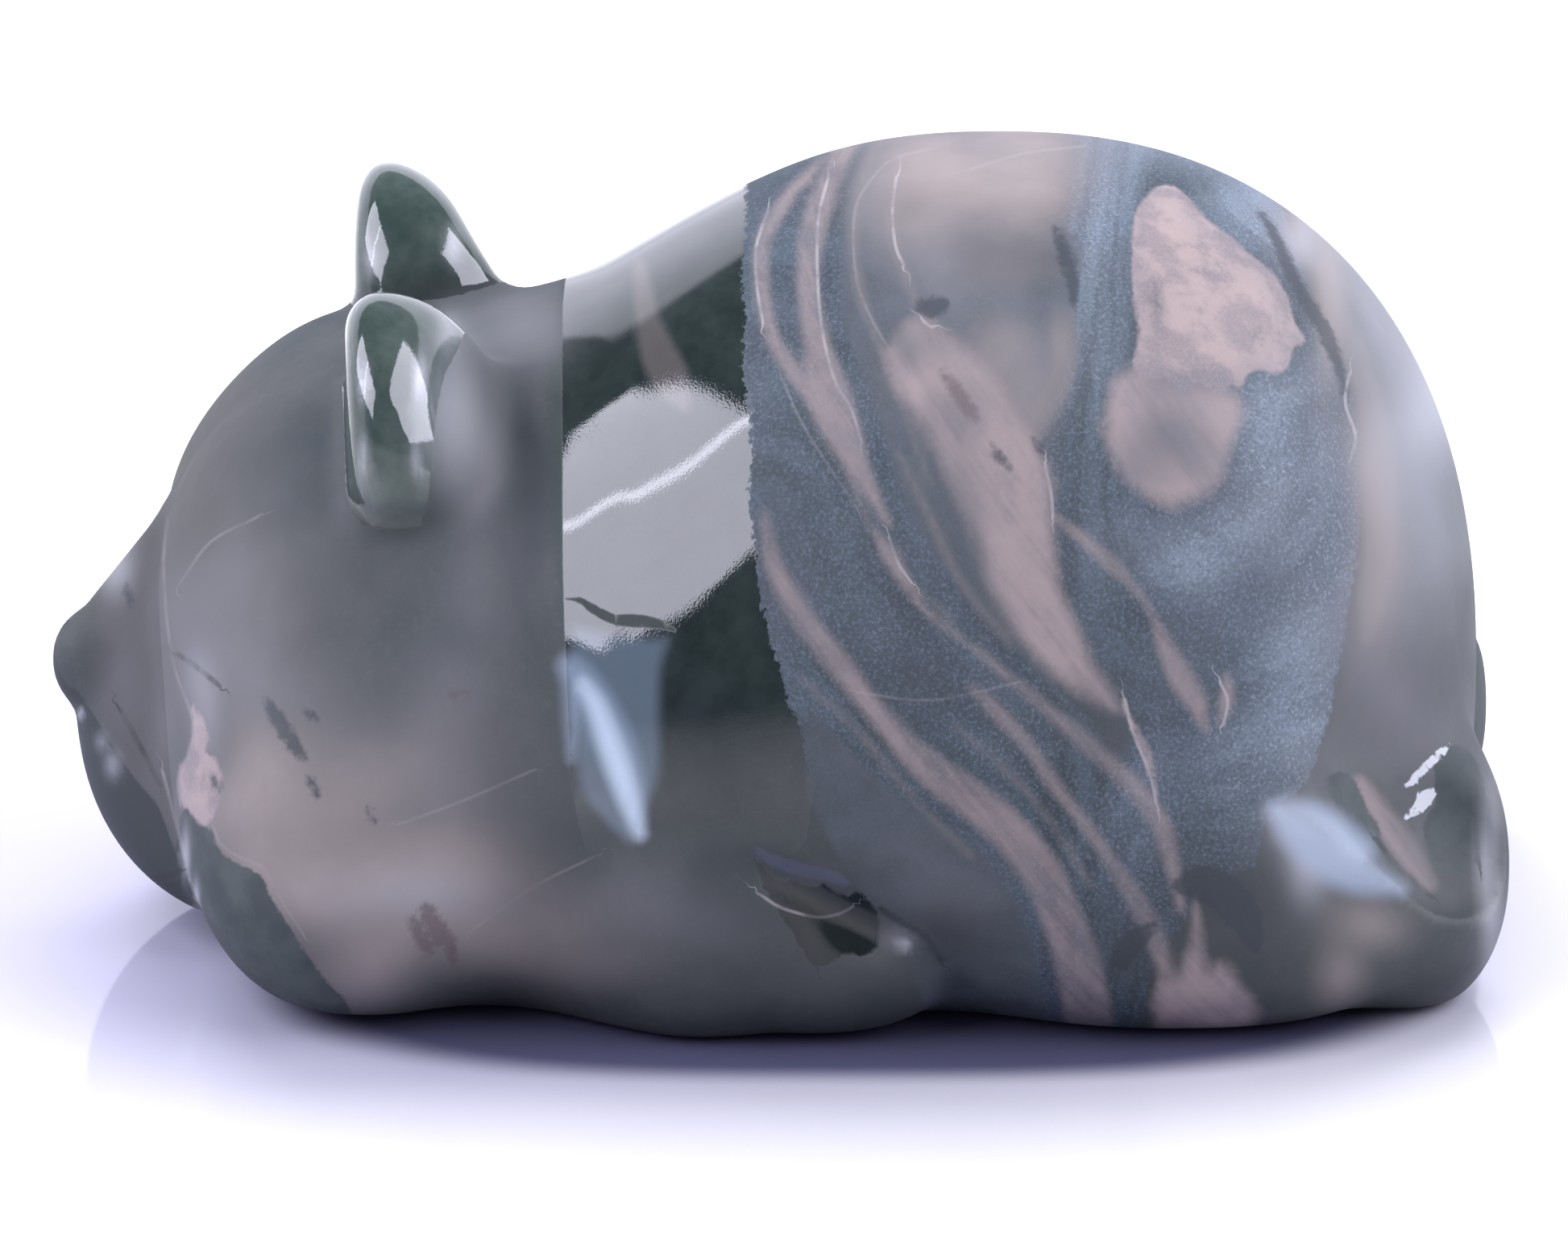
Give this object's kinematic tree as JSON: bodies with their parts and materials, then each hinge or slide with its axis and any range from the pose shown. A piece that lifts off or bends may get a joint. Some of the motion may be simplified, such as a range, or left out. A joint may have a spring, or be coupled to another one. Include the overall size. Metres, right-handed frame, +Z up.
{
  "type": "crystal panda carving",
  "caption": "Small polished stone carving of a panda lying prone, with upright ears, a wedge muzzle, tucked fore paws and upturned hind feet, flat underneath.",
  "frame": {"origin": "centre of the flat underside, on the surface that the carving rests on", "axes": "+Z up, -Y towards the nose, +X to the panda's left"},
  "size_m": [0.0472, 0.0758, 0.0412],
  "materials": {
    "stone": null
  },
  "bodies": {
    "root": {"panda_carving": "stone"}
  },
  "joints": []
}
